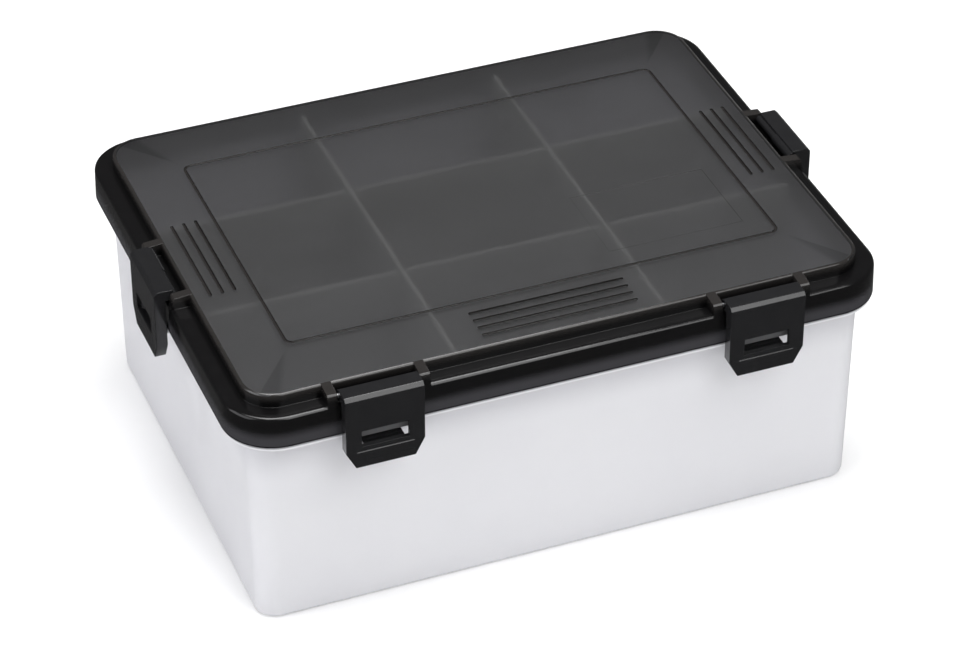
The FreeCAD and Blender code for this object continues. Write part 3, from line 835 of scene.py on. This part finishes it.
# %% [markdown]
# ## Divider sheets in place
# The dividers are cut from flat sheet, but each edge is broken a little, so that it slides into
# its ribs. Each gets a merged copy with its flat faces joined and a narrow soft edge.

# %% Dividers
sheet_edge = 0.3
for node_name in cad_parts:
    if "divider" in node_name:
        sheet = merged_copy(node_name, node_name + "_sheet")
        mark(sheet, "FACE", everything)
        bpy.ops.mesh.dissolve_limited(angle_limit=math.radians(1.0))
        lay_down()
        soften(sheet, sheet_edge, math.radians(50))
        shade(sheet)
        dress(sheet, sheet_finish)
        join_in_body(sheet, "tub", "frosted_divider", node_name)
        print(node_name, "faces:", len(sheet.data.polygons))

# %% [markdown]
# ## Studio
# The box stands on a pale floor that runs out of the picture. A softbox hangs overhead and a
# second one high in front, so that each rounded edge and each latch's fold catches a thin bright
# line while the flat top stays dark. A large cool one lifts the left side, and a low strip behind
# on the right draws a thin line along the lid's far edge. Black gloss shows all that stands around
# it, so the floor is kept out of the reflections and the surround is dim, as with black cards
# round a real set, while the camera sees a pale backdrop. The floor glows a little, like a light
# table, which keeps the shadows soft.

# %% Floor
def studio_floor(size=14.0, gap=0.2, glow=0.16):
    clear_bench()
    bpy.ops.mesh.primitive_plane_add(size=size, location=(0, 0, -gap * mm))
    floor = bpy.context.object
    floor.name = "studio_floor"
    material, tree, shader, place = new_finish("pale studio floor")
    cloud = noise(tree, place, 6.0, 3.0)
    colour = blend_colours(tree, cloud, (0.90, 0.90, 0.90), (0.93, 0.93, 0.93))
    tree.links.new(colour, shader.inputs["Base Color"])
    shader.inputs["Roughness"].default_value = 0.7
    shader.inputs["Emission Color"].default_value = (1.0, 1.0, 1.0, 1)
    shader.inputs["Emission Strength"].default_value = glow
    floor.data.materials.append(material)
    floor.visible_glossy = False
    return floor


print("floor:", studio_floor().name)

# %% Lights
def softbox(name, place, aim, width, height, power, tone=(1.0, 1.0, 1.0)):
    light = bpy.data.lights.new(name, "AREA")
    light.shape = "RECTANGLE"
    light.size = width
    light.size_y = height
    light.energy = power
    light.color = tone
    box = bpy.data.objects.new(name, light)
    box.location = place
    box.rotation_euler = (Vector(aim) - Vector(place)).to_track_quat("-Z", "Y").to_euler()
    bpy.context.scene.collection.objects.link(box)


softbox("overhead_softbox", (0.0, 0.05, 1.5), (0, 0, 0), 1.0, 1.0, 23.0)
softbox("front_softbox", (0.42, -1.22, 1.55), (0, 0, 0.08), 1.1, 1.3, 16.0)
softbox("left_softbox", (-2.3, -0.15, 1.25), (0, 0, 0.05), 2.2, 2.2, 27.0, (0.97, 0.97, 1.0))
softbox("rear_strip", (1.50, 1.65, 0.30), (0.15, 0, 0.14), 0.9, 0.2, 1.0)

# %% Surround
def surround_light(lit=0.08, seen=0.85):
    """A world that lights dimly, while the camera sees a paler one."""
    surround = bpy.data.worlds.new("dim surround with a pale backdrop")
    surround.use_nodes = True
    tree = surround.node_tree
    dim = tree.nodes["Background"]
    dim.inputs["Color"].default_value = (1.0, 1.0, 1.0, 1)
    dim.inputs["Strength"].default_value = lit
    pale = tree.nodes.new("ShaderNodeBackground")
    pale.inputs["Strength"].default_value = seen
    ray = tree.nodes.new("ShaderNodeLightPath")
    mix = tree.nodes.new("ShaderNodeMixShader")
    tree.links.new(ray.outputs["Is Camera Ray"], mix.inputs["Fac"])
    tree.links.new(dim.outputs["Background"], mix.inputs[1])
    tree.links.new(pale.outputs["Background"], mix.inputs[2])
    tree.links.new(mix.outputs["Shader"], tree.nodes["World Output"].inputs["Surface"])
    return surround


bpy.context.scene.world = surround_light()
bpy.context.scene.view_settings.view_transform = "Standard"
print("surround:", bpy.context.scene.world.name)

# %% [markdown]
# ## Camera
# A long lens from the left front and above, as product pictures are taken. Its place is given
# by the angle it looks from and its distance, which is how a photographer would set it up.

# %% Camera
camera_azimuth = math.radians(-21.52)
camera_elevation = math.radians(36.06)
camera_distance = 2.000
camera_target = Vector((0.03184, 0.06943, 0.005))
away = Vector((
    math.sin(camera_azimuth) * math.cos(camera_elevation),
    -math.cos(camera_azimuth) * math.cos(camera_elevation),
    math.sin(camera_elevation)))
camera = bpy.data.cameras.new("product camera")
camera.sensor_width = 36.0
camera.lens = 132.9
camera_stand = bpy.data.objects.new("product_camera", camera)
camera_stand.location = camera_target + away * camera_distance
camera_stand.rotation_euler = (-away).to_track_quat("-Z", "Y").to_euler()
bpy.context.scene.collection.objects.link(camera_stand)
bpy.context.scene.camera = camera_stand
print("camera at", [round(v, 3) for v in camera_stand.location])
